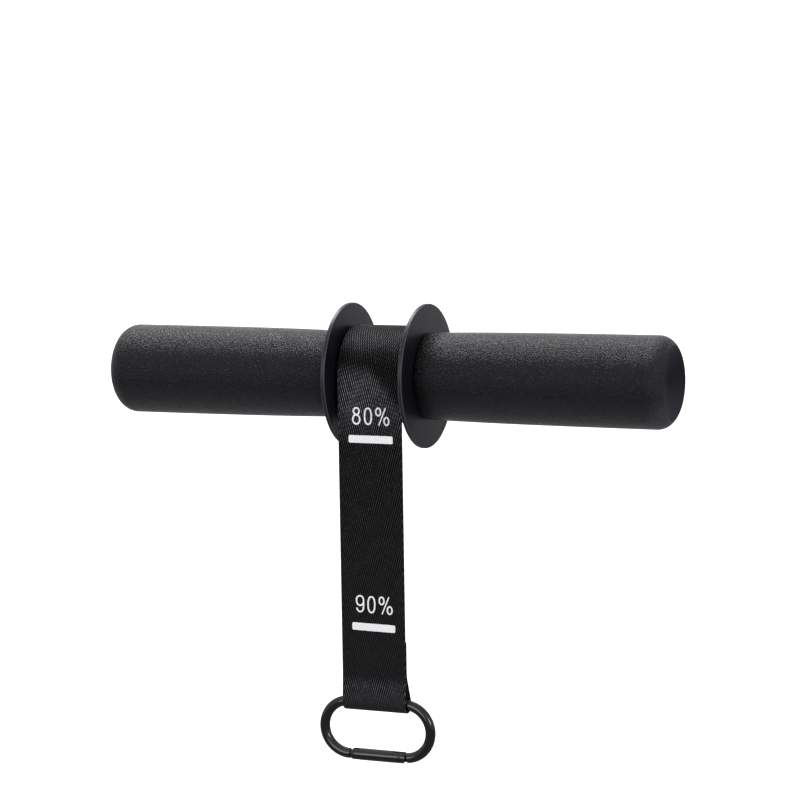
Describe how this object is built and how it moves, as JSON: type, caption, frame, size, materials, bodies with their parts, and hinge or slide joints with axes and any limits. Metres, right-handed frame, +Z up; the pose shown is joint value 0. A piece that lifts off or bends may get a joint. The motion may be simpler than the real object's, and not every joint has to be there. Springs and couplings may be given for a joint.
{
  "type": "wrist roller",
  "caption": "Wrist roller: a bar with two thick foam grips, a flanged spool at its middle, and a flat strap that winds on the spool and ends in a spring-gated snap carabiner.",
  "frame": {"origin": "on the bar's axis at the middle of its length, between the two grips, where it is held", "axes": "+X along the bar, to the right as seen from the front; +Z up; the strap hangs down at the front, on the -Y side of the spool"},
  "size_m": [0.334, 0.08, 0.254],
  "materials": {
    "grip_foam": "matte black foam with a fine sandy grain",
    "flange_black": "satin black, smooth",
    "webbing": "black woven strap, fine twill",
    "black_anodised": "gloss black anodised",
    "black_plastic": "moulded black plastic",
    "steel": "plain zinc-plated steel"
  },
  "bodies": {
    "bar": {"core_tube": "steel", "right_end_plug": "black_plastic", "left_end_plug": "black_plastic", "right_grip": "grip_foam", "left_grip": "grip_foam", "right_flange": "flange_black", "left_flange": "flange_black", "right_flange_screw_1": "steel", "right_flange_screw_2": "steel", "right_flange_screw_3": "steel", "left_flange_screw_1": "steel", "left_flange_screw_2": "steel", "left_flange_screw_3": "steel", "spool_core": "black_plastic", "spool_cross_pin": "steel", "strap_clamp_plate": "steel", "clamp_screw_1": "steel", "clamp_screw_2": "steel", "strap_inner_turns": "webbing"},
    "strap_lead": {"strap_outer_turns": "webbing", "strap_run": "webbing"},
    "strap_end": {"strap_end": "webbing"},
    "carabiner": {"carabiner_body": "black_anodised", "gate_hinge_pin": "steel"},
    "gate": {"carabiner_gate": "black_anodised", "gate_catch_pin": "steel", "gate_spring": "steel"},
    "plunger": {"gate_plunger": "steel"}
  },
  "joints": [
    {"name": "strap_turn", "type": "hinge", "parent": "bar", "child": "strap_lead", "pos_m": [0, 0, 0], "axis": [1, 0, 0], "range_deg": [-1440, 24]},
    {"name": "strap_travel", "type": "slide", "parent": "strap_lead", "child": "strap_end", "axis": [0, 0, 1], "range_m": [-0.6715, 0.0115], "deforming": ["strap_run"]},
    {"name": "carabiner_swing", "type": "hinge", "parent": "strap_end", "child": "carabiner", "pos_m": [-0.0005, -0.0236, -0.1807], "axis": [1, 0, 0], "range_deg": [-140, 140]},
    {"name": "gate_open", "type": "hinge", "parent": "carabiner", "child": "gate", "pos_m": [0.0133, -0.0236, -0.2107], "axis": [0, 1, 0], "range_deg": [0, 30], "stiffness_Nm_per_rad": 0.02, "springref_deg": -17.19},
    {"name": "plunger_travel", "type": "slide", "parent": "gate", "child": "plunger", "axis": [-1, 0, 0], "range_m": [0, 0.0009], "deforming": ["gate_spring"]}
  ],
  "couplings": [
    {"joint": "strap_travel", "follows": "strap_turn", "m_per_rad": 0.0267},
    {"joint": "plunger_travel", "follows": "gate_open", "m_per_rad": 0.00168}
  ]
}
